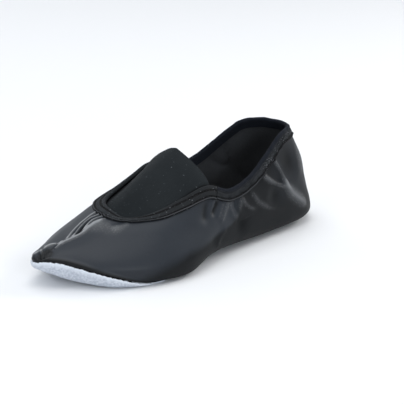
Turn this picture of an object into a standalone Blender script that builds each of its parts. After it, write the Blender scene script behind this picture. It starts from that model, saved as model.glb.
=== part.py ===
"""Left gymnastics slipper: soft leather upper, thin suede sole, sock, elastic gore and two edge tapes.

Every piece is taken off one last. The last is a function of the turn round the foot (0 at the heel,
a half circle each way to the toe, negative on the outer side) and of the rise from the middle of the
bottom to the topline. Lengths are millimetres until a vertex is placed.
"""
import bpy
import bmesh
import numpy as np

# Main sizes of the shoe
LENGTH = 245.0
WALL = 1.2
SOLE_THICK = 1.6
SOCK_THICK = 1.0
TAPE_THICK = 0.8
GORE_THICK = 1.0
GAP = 0.3
TAPE_GAP = 0.45
TREAD = SOLE_THICK + GAP

# Where the long lines of the last start and end, from the heel bulge
SPINE = (23.0, 223.0)
FEATHER = (11.0, 234.5)
WIDEST = (0.0, 243.5)
SHOULDER = (8.0, 214.5)
TOPLINE = (22.0, 181.5)
TOE_SWING = 3.0
SWING_FROM = 0.6

# Middle of the finished shoe, measured from the heel bulge and from the line of the heel
MIDDLE_ALONG = 122.5
MIDDLE_ACROSS = -4.3

# Edge of the throat pressed flat on the outer side of the toe: depth, middle, spread and where it starts
THROAT_SINK = 3.2
SINK_TURN = np.radians(-166.0)
SINK_SPREAD = np.radians(15.0)
SINK_FROM = 2.72

# Widths of the lapped edges
LASTING_MARGIN = 12.0
SOCK_INSET = 3.0
THROAT_TAPE = 8.0
COLLAR_TAPE = 7.5
TAPE_INSIDE = 6.0
GORE_MARGIN = 6.0

# Faces round the foot, and those from the heel to the join of the tapes
ROUND_FACES = 80
JOIN_FACES = 22
JOIN_GAP = 0.004
GORE_TURN = np.radians(102.0)
GORE_FACES = 34

# Crest of the gore: where it starts and ends, its height there, its crown between and its fullness
CREST_ALONG = (124.5, 166.5)
CREST_UP = (73.0, 48.5)
CREST_CROWN = 1.6
GORE_FULLNESS = 0.75

# Sections of the last at equal turns from heel to toe
COLUMNS = ("feather", "arch", "wide_out", "wide_in", "wide_up", "shoulder_out", "shoulder_in",
           "shoulder_up", "top", "top_up", "rim_out", "rim_in")
SECTIONS = np.array((
    (0.60, 0.7, 0.0, 0.0, 9.0, 0.0, 0.0, 38.0, 0.0, 72.5, -0.25, -0.25),
    (0.60, 0.3, 15.5, 15.5, 9.5, 13.0, 13.0, 38.0, 8.5, 72.8, -0.25, -0.25),
    (0.60, 0.0, 25.5, 25.5, 10.5, 22.5, 22.5, 37.0, 15.5, 73.5, -0.25, -0.25),
    (0.60, 0.0, 30.0, 29.5, 11.5, 28.0, 27.5, 36.0, 21.0, 72.0, -0.25, -0.25),
    (0.70, 0.0, 32.5, 30.0, 12.0, 31.0, 29.0, 34.0, 25.5, 62.0, -0.25, -0.25),
    (0.74, 1.6, 36.0, 29.5, 13.5, 33.5, 29.5, 30.0, 29.0, 50.3, -0.25, -0.25),
    (0.82, 3.0, 42.0, 32.5, 14.0, 36.5, 31.0, 31.0, 31.0, 45.8, -0.20, -0.20),
    (0.90, 0.0, 51.0, 39.5, 11.8, 40.0, 34.0, 32.5, 31.0, 52.5, -0.25, -0.25),
    (0.90, 0.0, 47.2, 42.0, 12.0, 38.0, 34.0, 32.0, 28.5, 47.5, 0.16, 0.26),
    (0.92, 0.0, 35.0, 32.3, 13.0, 28.0, 27.0, 31.5, 25.5, 42.3, 0.78, 0.52),
    (0.88, 2.9, 17.5, 16.0, 16.0, 17.5, 17.0, 30.0, 20.5, 39.6, 1.02, 0.66),
    (0.81, 7.9, 7.5, 6.3, 18.0, 8.0, 8.0, 28.5, 11.0, 39.8, 1.04, 0.82),
    (0.80, 9.7, 0.0, 0.0, 18.8, 0.0, 0.0, 28.0, 0.0, 40.5, 0.86, 0.86),
))
WIDTHS = ("wide_out", "wide_in", "shoulder_out", "shoulder_in", "top")


def section_row(turn):
    """Smooth values of every column at a turn; the widths change sign past the heel and the toe."""
    mirror = np.array([-1.0 if name in WIDTHS else 1.0 for name in COLUMNS])
    rows = np.vstack([SECTIONS[1] * mirror, SECTIONS, SECTIONS[-2] * mirror])
    place = np.abs(turn) / np.pi * (len(SECTIONS) - 1)
    first = np.clip(np.floor(place).astype(int), 0, len(SECTIONS) - 2)
    part = (place - first)[..., None]
    a, b, c, d = (rows[first + k] for k in range(4))
    value = b + 0.5 * part * (c - a + part * (2 * a - 5 * b + 4 * c - d + part * (3 * (b - c) + d - a)))
    return {name: value[..., k] for k, name in enumerate(COLUMNS)}


def long_line(turn, ends, half, up):
    """One long line of the last, from the heel to the toe, swinging inward at the toe."""
    along = ends[0] + (ends[1] - ends[0]) * (1 - np.cos(turn)) / 2
    swing = TOE_SWING * np.clip((along / LENGTH - SWING_FROM) / (1 - SWING_FROM), 0, 1) ** 2
    side = np.where(turn < 0, -1.0, 1.0)
    return np.stack([along, swing + side * half, up], -1)


def curve(start, end, leave, arrive, part):
    """Cubic from start to end with the given directions."""
    rest = 1 - part
    near = (1 + 2 * part) * rest ** 2 * start + part * rest ** 2 * leave
    far = part ** 2 * (3 - 2 * part) * end - part ** 2 * rest * arrive
    return near + far


def wrapped(turn):
    """Turn brought back between the two sides of the toe."""
    return (turn + np.pi) % (2 * np.pi) - np.pi


def spine_height(along):
    """Height of the bottom along its middle, level with the feather edge beside it."""
    share = (along - FEATHER[0]) / (FEATHER[1] - FEATHER[0])
    return TREAD + np.maximum(section_row(np.arccos(1 - 2 * share))["arch"], 0)


def last(turn, rise):
    """Point of the last; rise is -1 on the spine, 0 at the feather edge, 1 at the widest line,
    2 on the shoulder and 3 on the topline."""
    turn, rise = np.broadcast_arrays(np.asarray(turn, float), np.asarray(rise, float))
    turn = wrapped(turn)
    row = section_row(turn)
    outer = turn < 0
    wide = np.where(outer, row["wide_out"], row["wide_in"])
    shoulder = np.where(outer, row["shoulder_out"], row["shoulder_in"])
    bottom = TREAD + np.maximum(row["arch"], 0)
    p_spine = long_line(turn, SPINE, 0 * wide, bottom)
    p_spine[..., 2] = spine_height(p_spine[..., 0])
    p_feather = long_line(turn, FEATHER, wide * row["feather"], bottom)
    p_wide = long_line(turn, WIDEST, wide, row["wide_up"])
    p_shoulder = long_line(turn, SHOULDER, shoulder, row["shoulder_up"])
    p_top = long_line(turn, TOPLINE, row["top"], row["top_up"])
    low = np.linalg.norm(p_wide - p_feather, axis=-1)[..., None]
    middle = np.linalg.norm(p_shoulder - p_wide, axis=-1)[..., None]
    high = np.linalg.norm(p_top - p_shoulder, axis=-1)[..., None]
    out = (p_feather - p_spine) * np.array((1.0, 1.0, 0.0))
    out = out / np.linalg.norm(out, axis=-1)[..., None] * low
    upright = np.array((0.0, 0.0, 1.2)) * low
    lean = (p_shoulder - p_wide) / middle * high + (p_top - p_shoulder) / high * middle
    lean = lean / (middle + high)
    finish = 1.5 * (p_top - p_shoulder) - 0.5 * lean * high
    rise = rise[..., None]
    flat = p_spine + (p_feather - p_spine) * (rise + 1)
    side = curve(p_feather, p_wide, out, upright, rise)
    wall = curve(p_wide, p_shoulder, upright, lean * middle, rise - 1)
    brow = curve(p_shoulder, p_top, lean * high, finish, rise - 2)
    sink = THROAT_SINK * np.exp(-(wrapped(turn - SINK_TURN) / SINK_SPREAD) ** 2)[..., None]
    sink = sink * (np.maximum(rise - SINK_FROM, 0) / (3 - SINK_FROM)) ** 1.5
    brow = brow - sink * np.array((0.0, 0.0, 1.0))
    return np.select([rise <= 0, rise <= 1, rise <= 2], [flat, side, wall], brow)


def facing(turn, rise):
    """Unit normal of the last, out of the shoe."""
    step = 0.01
    along = last(turn + step, rise) - last(turn - step, rise)
    upward = last(turn, rise + step) - last(turn, rise - step)
    normal = np.cross(upward, along)
    return normal / np.linalg.norm(normal, axis=-1)[..., None]


def outward(turn, rise):
    """Normal to lift a piece along; on the spine the two halves share the mean of their normals."""
    beside = np.maximum(rise, -0.9)
    normal = facing(turn, beside)
    shared = normal + facing(-turn, beside)
    normal = np.where(np.asarray(rise)[..., None] <= -1, shared, normal)
    return normal / np.linalg.norm(normal, axis=-1)[..., None]


def lifted(turn, rise, lift):
    """Point of the last moved out of the shoe by lift."""
    return last(turn, rise) + outward(turn, rise) * np.asarray(lift)[..., None]


def over_topline(turn):
    """Unit direction over the last and off its topline, square to the edge."""
    along = last(turn + 0.01, 3.0) - last(turn - 0.01, 3.0)
    square = np.cross(along, outward(turn, 3.0))
    return square / np.linalg.norm(square, axis=-1)[..., None]


def below_topline(turn, width, lift):
    """Point lifted off the last that lies the given width below the topline, square to the edge."""
    goal = last(turn, 3.0) - over_topline(turn) * width
    rise = np.full_like(turn, 3.0)
    for _ in range(6):
        along = (last(turn + 0.01, rise) - last(turn - 0.01, rise)) / 0.02
        upward = (last(turn, rise) - last(turn, rise - 0.02)) / 0.02
        miss = goal - last(turn, rise)
        along_2 = np.sum(along * along, -1)
        upward_2 = np.sum(upward * upward, -1)
        mixed = np.sum(along * upward, -1)
        miss_along = np.sum(miss * along, -1)
        miss_upward = np.sum(miss * upward, -1)
        scale = along_2 * upward_2 - mixed ** 2
        turn = turn + (miss_along * upward_2 - miss_upward * mixed) / scale
        rise = rise + (miss_upward * along_2 - miss_along * mixed) / scale
    return lifted(turn, rise, lift)


def inside_feather(turn, width):
    """Rise at which the bottom is the given width inside the feather edge, or half way to the spine."""
    half = np.linalg.norm(last(turn, 0.0) - last(turn, -1.0), axis=-1)
    return -np.minimum(width / half, 0.5)


def sheet(name, points, thickness, offset, colour, roughness):
    """Piece made from a grid of points, columns by rows, and thickened to a solid."""
    columns, rows = points.shape[:2]
    bm = bmesh.new()
    bmesh.ops.create_grid(bm, x_segments=columns - 1, y_segments=rows - 1, size=1.0)
    bm.verts.ensure_lookup_table()
    for row in range(rows):
        for column in range(columns):
            along, across, up = points[column, row]
            bm.verts[row * columns + column].co = (
                (MIDDLE_ALONG - along) * 0.001,
                (across - MIDDLE_ACROSS) * 0.001,
                up * 0.001,
            )
    bmesh.ops.remove_doubles(bm, verts=bm.verts, dist=0.00002)
    mesh = bpy.data.meshes.new(name)
    bm.to_mesh(mesh)
    bm.free()
    piece = bpy.data.objects.new(name, mesh)
    shoe.objects.link(piece)
    wall = piece.modifiers.new("thickness", "SOLIDIFY")
    wall.thickness = thickness * 0.001
    wall.offset = offset
    split = piece.modifiers.new("facets", "TRIANGULATE")
    split.quad_method = "FIXED"
    material = bpy.data.materials.new(name)
    material.use_nodes = True
    surface = material.node_tree.nodes["Principled BSDF"]
    surface.inputs["Base Color"].default_value = (*colour, 1.0)
    surface.inputs["Roughness"].default_value = roughness
    mesh.materials.append(material)
    return piece


def tape(name, turns, width):
    """Tape folded over the topline: down the outside, over the edge and down the inside."""
    edge = last(turns, 3.0)
    normal = outward(turns, 3.0)
    square = over_topline(turns)
    across = [below_topline(turns, width * part, TAPE_GAP) for part in (1.0, 0.67, 0.33)]
    radius = WALL / 2 + TAPE_GAP
    for angle in np.radians((0, 45, 90, 135, 180)):
        shift = radius * np.cos(angle) - WALL / 2
        across.append(edge + normal * shift + square * radius * np.sin(angle))
    across += [below_topline(turns, TAPE_INSIDE * part, -WALL - TAPE_GAP) for part in (0.5, 1.0)]
    return sheet(name, np.stack(across, 1), TAPE_THICK, 1.0, (0.021, 0.025, 0.029), 0.85)


for old in list(bpy.data.objects):
    bpy.data.objects.remove(old, do_unlink=True)
shoe = bpy.data.collections.new("gymnastics_shoe")
bpy.context.scene.collection.children.link(shoe)
ring = np.linspace(-np.pi, np.pi, ROUND_FACES + 1)
face = ring[1] - ring[0]

# Upper, open at the topline and underneath where its margin lies on the sole
margin = inside_feather(ring, LASTING_MARGIN)
rises = (margin, 0, 0.25, 0.5, 0.75, 1, 1.33, 1.67, 2, 2.25, 2.5, 2.75, 2.88, 3)
upper = np.stack([last(ring, rise) for rise in rises], 1)
sheet("upper", upper, WALL, -1.0, (0.041, 0.047, 0.055), 0.5)

# Sole, flat under heel and forefoot, rolled up round the toe
rim = np.where(ring < 0, section_row(ring)["rim_out"], section_row(ring)["rim_in"])
turn_up = np.minimum(0, rim - 0.1)
rises = [-1 + (turn_up + 1) * part for part in np.linspace(0, 1, 4)]
rises += [turn_up + (rim - turn_up) * part for part in (0.25, 0.5, 0.75, 1.0)]
sole = np.stack([lifted(ring, rise, GAP * (1 + 0.5 * np.clip(rise, 0, 1))) for rise in rises], 1)
sheet("sole", sole, SOLE_THICK, 1.0, (0.52, 0.58, 0.70), 0.9)

# Sock lying on the margin of the upper
reach = inside_feather(ring, SOCK_INSET)
rises = [-1 + (reach + 1) * part for part in np.linspace(0, 1, 3)]
sock = np.stack([last(ring, rise) + np.array((0.0, 0.0, WALL + GAP)) for rise in rises], 1)
sheet("insole", sock, SOCK_THICK, -1.0, (0.30, 0.27, 0.23), 0.9)

# Gore under the throat, from its margin behind the tape up to its crest
turns = np.linspace(GORE_TURN, 2 * np.pi - GORE_TURN, GORE_FACES + 1)
gore_lift = -WALL - TAPE_GAP - TAPE_THICK - GAP
share = (np.cos(turns[0]) - np.cos(turns)) / (np.cos(turns[0]) + 1)
crest = np.stack([
    CREST_ALONG[0] + (CREST_ALONG[1] - CREST_ALONG[0]) * share,
    np.zeros_like(share),
    CREST_UP[0] + (CREST_UP[1] - CREST_UP[0]) * share + 4 * CREST_CROWN * share * (1 - share),
], -1)
slope = np.array((CREST_UP[1] - CREST_UP[0], 0.0, CREST_ALONG[0] - CREST_ALONG[1]))
slope = slope / np.linalg.norm(slope)
foot = lifted(turns, 3.0, gore_lift)
span = crest - foot
leave = GORE_FULLNESS * over_topline(turns) * np.linalg.norm(span, axis=-1)[..., None]
arrive = span - (span @ slope)[..., None] * slope
gore = [below_topline(turns, GORE_MARGIN, gore_lift)]
gore += [curve(foot, crest, leave, arrive, part) for part in np.linspace(0, 1, 7)]
sheet("gore", np.stack(gore, 1), GORE_THICK, -1.0, (0.022, 0.028, 0.032), 0.95)

# Tapes round the throat and round the collar, butted at the ends of the gore
throat = np.arange(JOIN_FACES, ROUND_FACES - JOIN_FACES + 1) * face
throat[0] += JOIN_GAP
throat[-1] -= JOIN_GAP
tape("throat_binding", throat, THROAT_TAPE)
tape("collar_binding", np.arange(-JOIN_FACES, JOIN_FACES + 1) * face, COLLAR_TAPE)
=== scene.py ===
import bpy
import numpy as np
from mathutils import Euler, Matrix, Vector


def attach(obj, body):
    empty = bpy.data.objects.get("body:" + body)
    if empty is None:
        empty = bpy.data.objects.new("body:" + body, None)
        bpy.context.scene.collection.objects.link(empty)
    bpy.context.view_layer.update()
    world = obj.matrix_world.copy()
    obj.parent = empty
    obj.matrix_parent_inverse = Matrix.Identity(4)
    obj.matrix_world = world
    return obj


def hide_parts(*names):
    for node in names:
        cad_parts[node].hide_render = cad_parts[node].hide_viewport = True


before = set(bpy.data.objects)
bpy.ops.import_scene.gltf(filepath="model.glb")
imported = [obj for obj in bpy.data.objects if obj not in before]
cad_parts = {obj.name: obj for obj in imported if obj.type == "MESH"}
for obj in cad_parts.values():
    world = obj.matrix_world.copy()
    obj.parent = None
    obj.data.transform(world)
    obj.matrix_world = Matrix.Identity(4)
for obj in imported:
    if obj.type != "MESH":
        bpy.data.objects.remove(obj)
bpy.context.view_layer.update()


# Upper. Two halves of soft black leather, 1.2 mm thick, sewn together down the toe and up the heel,
# then turned and drawn over the last. The elastic collar pulls the leather into gathers below it, and
# the slack leather at the heel lies in long creases.
MM = 0.001
LENGTH = 245.0
WALL = 1.2
SOLE_THICK = 1.6
GAP = 0.3
TREAD = SOLE_THICK + GAP
SPINE = (23.0, 223.0)
FEATHER = (11.0, 234.5)
WIDEST = (0.0, 243.5)
SHOULDER = (8.0, 214.5)
TOPLINE = (22.0, 181.5)
TOE_SWING = 3.0
SWING_FROM = 0.6
MIDDLE_ALONG = 122.5
MIDDLE_ACROSS = -4.3
LASTING_MARGIN = 12.0
THROAT_SINK = 3.2
SINK_TURN = np.radians(-166.0)
SINK_SPREAD = np.radians(15.0)
SINK_FROM = 2.72
SINK_POWER = 1.5
SIDE_UPRIGHT = 1.2
NEAR_SPINE = -0.9
TOP_RISE = 3.0
STEP = 0.01
MERGE_WITHIN = 0.02
SHARP_FROM = np.radians(60.0)
COLUMNS = ("feather", "arch", "wide_out", "wide_in", "wide_up", "shoulder_out", "shoulder_in",
           "shoulder_up", "top", "top_up", "rim_out", "rim_in")
SECTIONS = np.array((
    # one row for each 15 degrees of turn, from the back of the heel to the tip of the toe; the feather is a
    # share of the half width, the rims of the sole are rises, and the rest are millimetres
    (0.60, 0.7, 0.0, 0.0, 9.0, 0.0, 0.0, 38.0, 0.0, 72.5, -0.25, -0.25),
    (0.60, 0.3, 15.5, 15.5, 9.5, 13.0, 13.0, 38.0, 8.5, 72.8, -0.25, -0.25),
    (0.60, 0.0, 25.5, 25.5, 10.5, 22.5, 22.5, 37.0, 15.5, 73.5, -0.25, -0.25),
    (0.60, 0.0, 30.0, 29.5, 11.5, 28.0, 27.5, 36.0, 21.0, 72.0, -0.25, -0.25),
    (0.70, 0.0, 32.5, 30.0, 12.0, 31.0, 29.0, 34.0, 25.5, 62.0, -0.25, -0.25),
    (0.74, 1.6, 36.0, 29.5, 13.5, 33.5, 29.5, 30.0, 29.0, 50.3, -0.25, -0.25),
    (0.82, 3.0, 42.0, 32.5, 14.0, 36.5, 31.0, 31.0, 31.0, 45.8, -0.20, -0.20),
    (0.90, 0.0, 51.0, 39.5, 11.8, 40.0, 34.0, 32.5, 31.0, 52.5, -0.25, -0.25),
    (0.90, 0.0, 47.2, 42.0, 12.0, 38.0, 34.0, 32.0, 28.5, 47.5, 0.16, 0.26),
    (0.92, 0.0, 35.0, 32.3, 13.0, 28.0, 27.0, 31.5, 25.5, 42.3, 0.78, 0.52),
    (0.88, 2.9, 17.5, 16.0, 16.0, 17.5, 17.0, 30.0, 20.5, 39.6, 1.02, 0.66),
    (0.81, 7.9, 7.5, 6.3, 18.0, 8.0, 8.0, 28.5, 11.0, 39.8, 1.04, 0.82),
    (0.80, 9.7, 0.0, 0.0, 18.8, 0.0, 0.0, 28.0, 0.0, 40.5, 0.86, 0.86),
))
WIDTHS = ("wide_out", "wide_in", "shoulder_out", "shoulder_in", "top")


def section_row(turn):
    """Smooth values of every column at a turn; the widths change sign past the heel and the toe."""
    mirror = np.array([-1.0 if name in WIDTHS else 1.0 for name in COLUMNS])
    rows = np.vstack([SECTIONS[1] * mirror, SECTIONS, SECTIONS[-2] * mirror])
    place = np.abs(turn) / np.pi * (len(SECTIONS) - 1)
    first = np.clip(np.floor(place).astype(int), 0, len(SECTIONS) - 2)
    part = (place - first)[..., None]
    a, b, c, d = (rows[first + k] for k in range(4))
    value = b + 0.5 * part * (c - a + part * (2 * a - 5 * b + 4 * c - d + part * (3 * (b - c) + d - a)))
    return {name: value[..., k] for k, name in enumerate(COLUMNS)}


def long_line(turn, ends, half, up):
    """One long line of the last, from the heel to the toe, swinging inward at the toe."""
    along = ends[0] + (ends[1] - ends[0]) * (1 - np.cos(turn)) / 2
    swing = TOE_SWING * np.clip((along / LENGTH - SWING_FROM) / (1 - SWING_FROM), 0, 1) ** 2
    side = np.where(turn < 0, -1.0, 1.0)
    return np.stack([along, swing + side * half, up], -1)


def curve(start, end, leave, arrive, part):
    """Cubic from start to end with the given directions."""
    rest = 1 - part
    near = (1 + 2 * part) * rest ** 2 * start + part * rest ** 2 * leave
    far = part ** 2 * (3 - 2 * part) * end - part ** 2 * rest * arrive
    return near + far


def wrapped(turn):
    """Turn brought back between the two sides of the toe."""
    return (turn + np.pi) % (2 * np.pi) - np.pi


def hump(middle, spread, value):
    """Soft bump of height 1 at the middle."""
    return np.exp(-((value - middle) / spread) ** 2)


def spine_height(along):
    """Height of the bottom along its middle, level with the feather edge beside it."""
    share = (along - FEATHER[0]) / (FEATHER[1] - FEATHER[0])
    return TREAD + np.maximum(section_row(np.arccos(1 - 2 * share))["arch"], 0)


def last(turn, rise):
    """Point of the last; rise is -1 on the spine, 0 at the feather edge, 1 at the widest line,
    2 on the shoulder and 3 on the topline."""
    turn, rise = np.broadcast_arrays(np.asarray(turn, float), np.asarray(rise, float))
    turn = wrapped(turn)
    row = section_row(turn)
    outer = turn < 0
    wide = np.where(outer, row["wide_out"], row["wide_in"])
    shoulder = np.where(outer, row["shoulder_out"], row["shoulder_in"])
    bottom = TREAD + np.maximum(row["arch"], 0)
    p_spine = long_line(turn, SPINE, 0 * wide, 0 * wide)
    p_spine[..., 2] = spine_height(p_spine[..., 0])
    p_feather = long_line(turn, FEATHER, wide * row["feather"], bottom)
    p_wide = long_line(turn, WIDEST, wide, row["wide_up"])
    p_shoulder = long_line(turn, SHOULDER, shoulder, row["shoulder_up"])
    p_top = long_line(turn, TOPLINE, row["top"], row["top_up"])
    low = np.linalg.norm(p_wide - p_feather, axis=-1)[..., None]
    middle = np.linalg.norm(p_shoulder - p_wide, axis=-1)[..., None]
    high = np.linalg.norm(p_top - p_shoulder, axis=-1)[..., None]
    out = (p_feather - p_spine) * np.array((1.0, 1.0, 0.0))
    out = out / np.linalg.norm(out, axis=-1)[..., None] * low
    upright = np.array((0.0, 0.0, SIDE_UPRIGHT)) * low
    lean = (p_shoulder - p_wide) / middle * high + (p_top - p_shoulder) / high * middle
    lean = lean / (middle + high)
    finish = 1.5 * (p_top - p_shoulder) - 0.5 * lean * high
    rise = rise[..., None]
    flat = p_spine + (p_feather - p_spine) * (rise + 1)
    side = curve(p_feather, p_wide, out, upright, rise)
    wall = curve(p_wide, p_shoulder, upright, lean * middle, rise - 1)
    brow = curve(p_shoulder, p_top, lean * high, finish, rise - 2)
    sink = THROAT_SINK * hump(0, SINK_SPREAD, wrapped(turn - SINK_TURN))[..., None]
    sink = sink * (np.maximum(rise - SINK_FROM, 0) / (TOP_RISE - SINK_FROM)) ** SINK_POWER
    brow = brow - sink * np.array((0.0, 0.0, 1.0))
    return np.select([rise <= 0, rise <= 1, rise <= 2], [flat, side, wall], brow)


def facing(turn, rise):
    """Unit normal of the last, out of the shoe."""
    along = last(turn + STEP, rise) - last(turn - STEP, rise)
    upward = last(turn, rise + STEP) - last(turn, rise - STEP)
    normal = np.cross(upward, along)
    return normal / np.linalg.norm(normal, axis=-1)[..., None]


def outward(turn, rise):
    """Normal to lift a piece along; on the spine the two halves share the mean of their normals."""
    beside = np.maximum(rise, NEAR_SPINE)
    normal = facing(turn, beside)
    shared = normal + facing(-turn, beside)
    normal = np.where(np.asarray(rise)[..., None] <= -1, shared, normal)
    return normal / np.linalg.norm(normal, axis=-1)[..., None]


def lifted(turn, rise, lift):
    """Point of the last moved out of the shoe by lift."""
    return last(turn, rise) + outward(turn, rise) * np.asarray(lift)[..., None]


def inside_feather(turn, width):
    """Rise at which the bottom is the given width inside the feather edge, or half way to the spine."""
    half = np.linalg.norm(last(turn, 0.0) - last(turn, -1.0), axis=-1)
    return -np.minimum(width / half, 0.5)


def sole_rim(turn):
    """Rise of the sole's upper edge."""
    row = section_row(wrapped(turn))
    return np.where(wrapped(turn) < 0, row["rim_out"], row["rim_in"])


def smooth(low, high, value):
    """Soft step from 0 at low to 1 at high."""
    part = np.clip((value - low) / (high - low), 0, 1)
    return part * part * (3 - 2 * part)


FOLD_STEPS = 8
FOLD_TAPER = 1.4
WAVE_COUNT = 9
WAVE_STRETCH = (0.6, 1.5)
WAVE_LEVEL = 4


def fold(points, path, width, height, crest, fade):
    """Ridge, or trough below zero, along a path of turns in degrees and rises, fading at its ends."""
    turns, rises = np.array(path, float).T
    place = np.linspace(0, len(path) - 1, FOLD_STEPS * len(path))
    turns = np.interp(place, np.arange(len(path)), turns)
    rises = np.interp(place, np.arange(len(path)), rises)
    line = last(np.radians(turns), rises)
    away = np.full(points.shape[:-1], np.inf)
    share = np.zeros(points.shape[:-1])
    for k in range(len(line) - 1):
        span = line[k + 1] - line[k]
        part = np.clip((points - line[k]) @ span / (span @ span), 0, 1)
        gap = np.linalg.norm(points - line[k] - part[..., None] * span, axis=-1)
        closer = gap < away
        away = np.where(closer, gap, away)
        share = np.where(closer, (k + part) / (len(line) - 1), share)
    ends = smooth(0, fade, share) * smooth(0, fade, 1 - share)
    return height * ends * np.exp(crest - np.sqrt((FOLD_TAPER * away / width) ** 2 + crest ** 2))


def bumpy(points, size, seed):
    """Gentle unevenness from a few crossing waves, between about -1 and 1."""
    waves = np.random.default_rng(seed)
    total = np.zeros(points.shape[:-1])
    for _ in range(WAVE_COUNT):
        way = waves.normal(size=3)
        way = way / np.linalg.norm(way) * waves.uniform(*WAVE_STRETCH)
        total = total + np.sin(points @ way * 2 * np.pi / size + waves.uniform(0, 2 * np.pi))
    return total / WAVE_LEVEL


def shaped_grid(name, points, across=None):
    """Flat grid with its vertices moved to the points of a curved piece, columns by rows. Its map runs
    along the piece and across it in millimetres."""
    columns, rows = points.shape[:2]
    bpy.ops.object.select_all(action="DESELECT")
    bpy.ops.mesh.primitive_grid_add(x_subdivisions=columns - 1, y_subdivisions=rows - 1, size=1.0)
    piece = bpy.context.object
    piece.name = name
    piece.data.name = name
    from_heel, from_middle, up = (points[..., k] for k in range(3))
    place = np.stack([MIDDLE_ALONG - from_heel, from_middle - MIDDLE_ACROSS, up], -1)
    piece.data.vertices.foreach_set("co", (place * MM).transpose(1, 0, 2).ravel())
    steps = np.linalg.norm(np.diff(points, axis=0), axis=-1).mean(axis=1)
    along = np.repeat(np.concatenate([[0], np.cumsum(steps)])[:, None], rows, axis=1)
    steps = np.linalg.norm(np.diff(points, axis=1), axis=-1)
    if across is None:
        across = np.concatenate([np.zeros((columns, 1)), np.cumsum(steps, axis=1)], axis=1)
    pattern = np.stack([along, across], -1).transpose(1, 0, 2).reshape(-1, 2)
    corner = np.empty(len(piece.data.loops), int)
    piece.data.loops.foreach_get("vertex_index", corner)
    piece.data.uv_layers[0].data.foreach_set("uv", pattern[corner].ravel())
    return piece


def mark(piece, name, values):
    """Number at every vertex of a shaped grid, for its material."""
    attribute = piece.data.attributes.new(name, "FLOAT", "POINT")
    attribute.data.foreach_set("value", np.ascontiguousarray(values.T, dtype=np.float32).ravel())


def thicken(piece, thickness, lining=0):
    """Closes the ring, gives the sheet its thickness inwards and shades it smooth."""
    bpy.ops.object.mode_set(mode="EDIT")
    bpy.ops.mesh.select_all(action="SELECT")
    bpy.ops.mesh.remove_doubles(threshold=MERGE_WITHIN * MM)
    bpy.ops.object.mode_set(mode="OBJECT")
    wall = piece.modifiers.new("thickness", "SOLIDIFY")
    wall.thickness = thickness * MM
    wall.offset = -1.0
    wall.material_offset = lining
    bpy.ops.object.modifier_apply(modifier=wall.name)
    bpy.ops.object.shade_smooth_by_angle(angle=SHARP_FROM)


class Shade:
    """Output of a shader node, written into plain expressions."""

    def __init__(self, tree, socket=None):
        self.tree = tree
        self.socket = socket

    def node(self, kind, settings, inputs, output=0):
        """Node of a kind, with its settings and then the values or links of its sockets."""
        made = self.tree.nodes.new(kind)
        for name, value in settings.items():
            setattr(made, name, value)
        for name, value in inputs.items():
            if isinstance(value, Shade):
                self.tree.links.new(value.socket, made.inputs[name])
            else:
                made.inputs[name].default_value = value
        return Shade(self.tree, made.outputs[output])

    def math(self, operation, *values):
        return self.node("ShaderNodeMath", {"operation": operation}, dict(enumerate(values)))

    def __add__(self, other):
        return self.math("ADD", self, other)

    def __mul__(self, other):
        return self.math("MULTIPLY", self, other)

    __radd__ = __add__
    __rmul__ = __mul__

    def wave(self):
        return self.math("SINE", self)

    def limited(self, low, high):
        """Part of the way from low to high, held between 0 and 1."""
        ends = {"Value": self, "From Min": low, "From Max": high}
        return self.node("ShaderNodeMapRange", {"interpolation_type": "SMOOTHSTEP"}, ends)

    def within(self, rising, falling):
        """1 between two soft edges, each given by the places where it starts and ends."""
        return self.limited(*rising) * self.limited(*falling)

    def between(self, first, second):
        """Colour mixed from first to second by this value."""
        inputs = {0: self, 6: first, 7: second}
        return self.node("ShaderNodeMix", {"data_type": "RGBA"}, inputs, output=2)


class Finish:
    """Material of one piece: its principled surface and the inputs that its pattern reads."""

    def __init__(self, name, roughness):
        self.material = bpy.data.materials.new(name)
        self.material.use_nodes = True
        self.tree = self.material.node_tree
        self.surface = self.tree.nodes["Principled BSDF"]
        self.surface.inputs["Roughness"].default_value = roughness
        self.start = Shade(self.tree)
        self.place = self.start.node("ShaderNodeTexCoord", {}, {}, output="Object")

    def noise(self, scale, detail):
        inputs = {"Vector": self.place, "Scale": scale, "Detail": detail}
        return self.start.node("ShaderNodeTexNoise", {}, inputs, output=0)

    def cells(self, scale):
        inputs = {"Vector": self.place, "Scale": scale}
        return self.start.node("ShaderNodeTexVoronoi", {"feature": "SMOOTH_F1"}, inputs, output=0)

    def number(self, name):
        return self.start.node("ShaderNodeAttribute", {"attribute_name": name}, {}, output="Fac")

    def pattern(self):
        """Place along and across the piece in millimetres."""
        point = self.start.node("ShaderNodeUVMap", {}, {})
        split = self.start.node("ShaderNodeSeparateXYZ", {}, {"Vector": point})
        other = Shade(self.tree, split.socket.node.outputs[1])
        return split, other

    def relief(self, height, distance, strength):
        bump = {"Height": height, "Distance": distance, "Strength": strength}
        self.set("Normal", self.start.node("ShaderNodeBump", {}, bump))

    def set(self, name, value):
        if isinstance(value, Shade):
            self.tree.links.new(value.socket, self.surface.inputs[name])
        else:
            self.surface.inputs[name].default_value = value


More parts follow.
